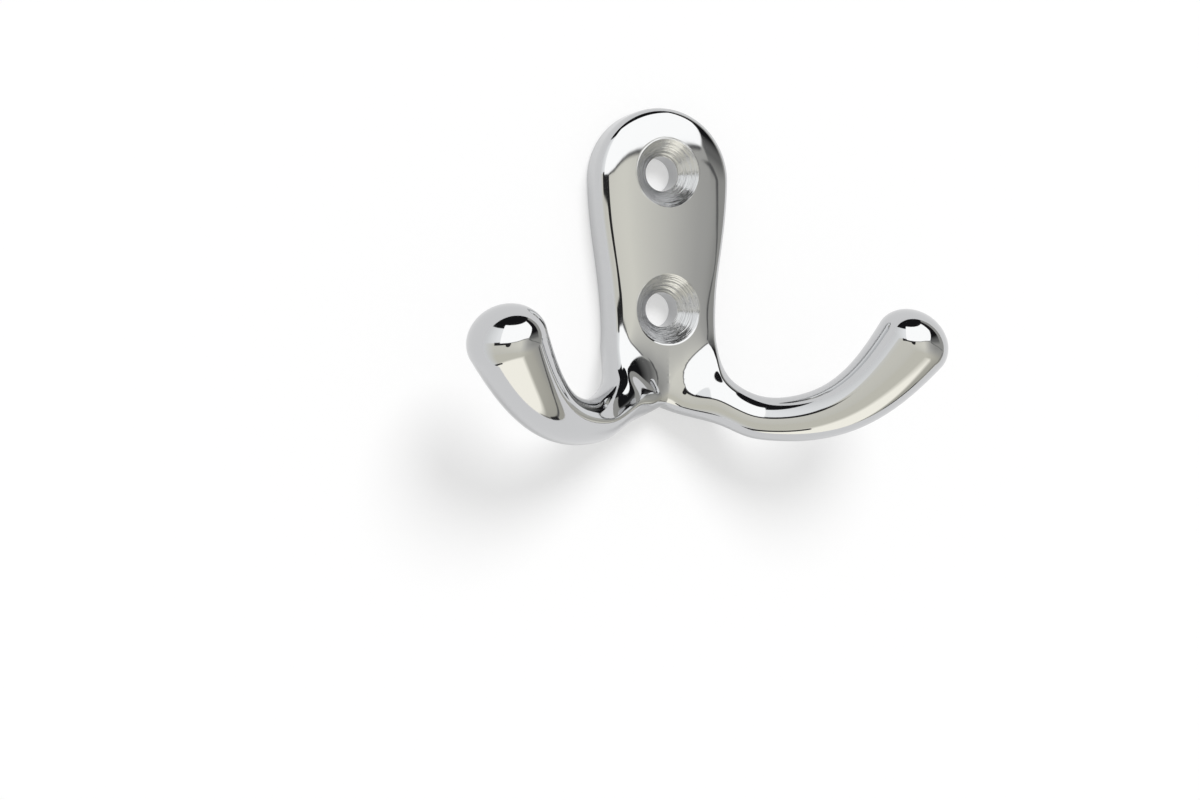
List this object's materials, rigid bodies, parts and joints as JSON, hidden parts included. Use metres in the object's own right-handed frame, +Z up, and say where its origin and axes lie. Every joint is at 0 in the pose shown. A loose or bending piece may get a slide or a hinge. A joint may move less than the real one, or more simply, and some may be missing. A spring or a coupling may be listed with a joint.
{
  "type": "double robe hook",
  "caption": "Chrome wall hook cast in one piece: a round-headed back plate with countersunk screw holes, parting below into paired curved arms with rounded ends for robes and towels.",
  "frame": {"origin": "on the wall face, midway between the centres of the two screw holes", "axes": "+X to the right as seen by someone facing the wall, +Y into the wall, +Z up"},
  "size_m": [0.0702, 0.0274, 0.0478],
  "materials": {
    "chrome": "polished chrome plate on a cast body"
  },
  "bodies": {
    "root": {"hook": "chrome"}
  },
  "joints": []
}
